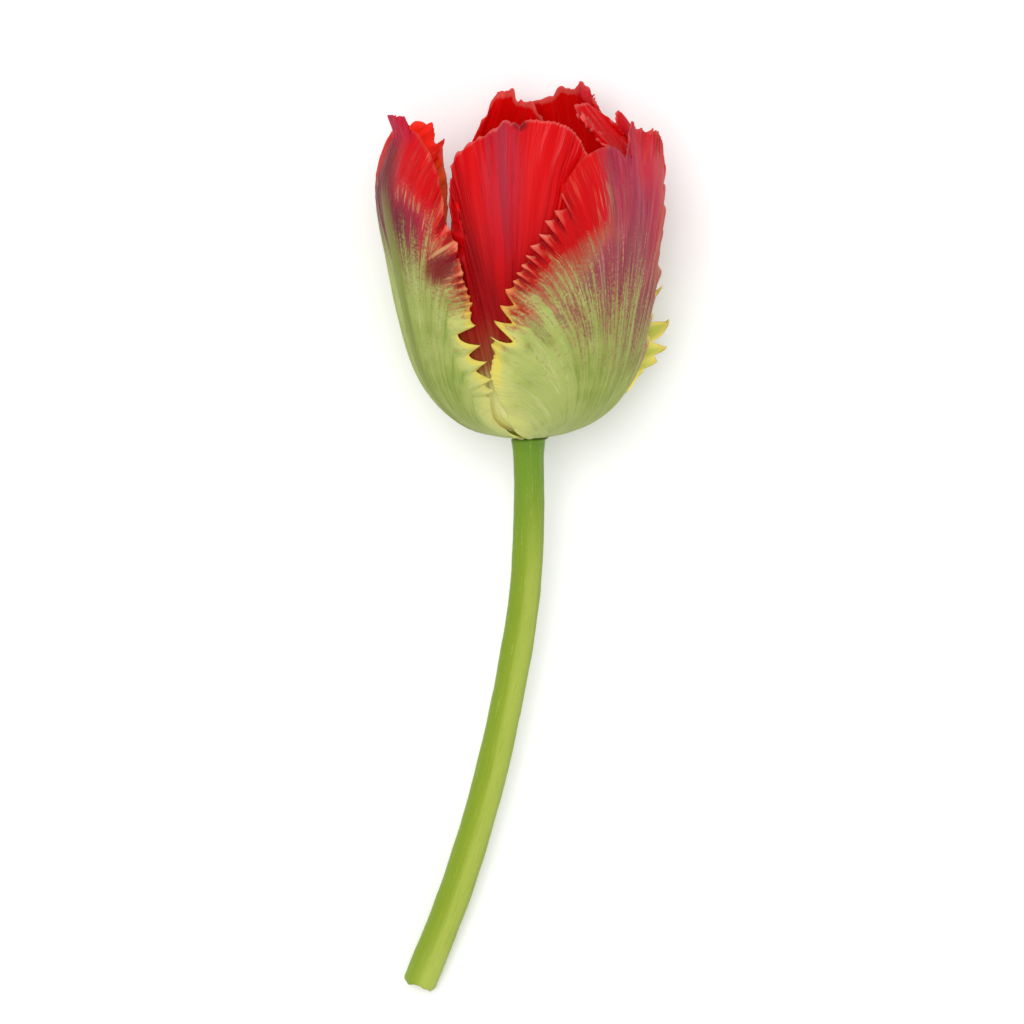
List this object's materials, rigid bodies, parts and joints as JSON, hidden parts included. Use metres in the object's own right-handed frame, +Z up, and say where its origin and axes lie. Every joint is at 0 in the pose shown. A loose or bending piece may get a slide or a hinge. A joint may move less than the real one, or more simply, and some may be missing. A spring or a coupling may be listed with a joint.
{
  "type": "parrot tulip",
  "caption": "Cut parrot tulip lying down: cup-shaped bloom of fringed, waved petals around a pistil and stamens, on a bare curved stem.",
  "frame": {"origin": "under the middle of the flower's box, on the surface that it lies on", "axes": "+Y along the flower from the stem's cut end to the bloom, +Z up from the surface, +X to the right of the bloom seen from above with the stem towards the viewer"},
  "size_m": [0.0718, 0.2272, 0.07],
  "materials": {
    "outer_tepal": "satin petal, red above, purple and green streaks over a yellow-green base",
    "inner_tepal": "satin petal, bright red with fine lengthwise veins and a purple midrib",
    "stem": "smooth fresh green with faint lengthwise lines",
    "ovary": "smooth waxy green",
    "stigma": "velvety pale yellow",
    "filament": "smooth pale yellow, darker at the foot",
    "anther": "powdery purple-black"
  },
  "bodies": {
    "root": {"outer_tepal_left": "outer_tepal", "outer_tepal_right": "outer_tepal", "outer_tepal_back": "outer_tepal", "inner_tepal_front": "inner_tepal", "inner_tepal_right": "inner_tepal", "inner_tepal_left": "inner_tepal", "stem": "stem", "ovary": "ovary", "stigma": "stigma", "filament_1": "filament", "filament_2": "filament", "filament_3": "filament", "filament_4": "filament", "filament_5": "filament", "filament_6": "filament", "anther_1": "anther", "anther_2": "anther", "anther_3": "anther", "anther_4": "anther", "anther_5": "anther", "anther_6": "anther"}
  },
  "joints": []
}
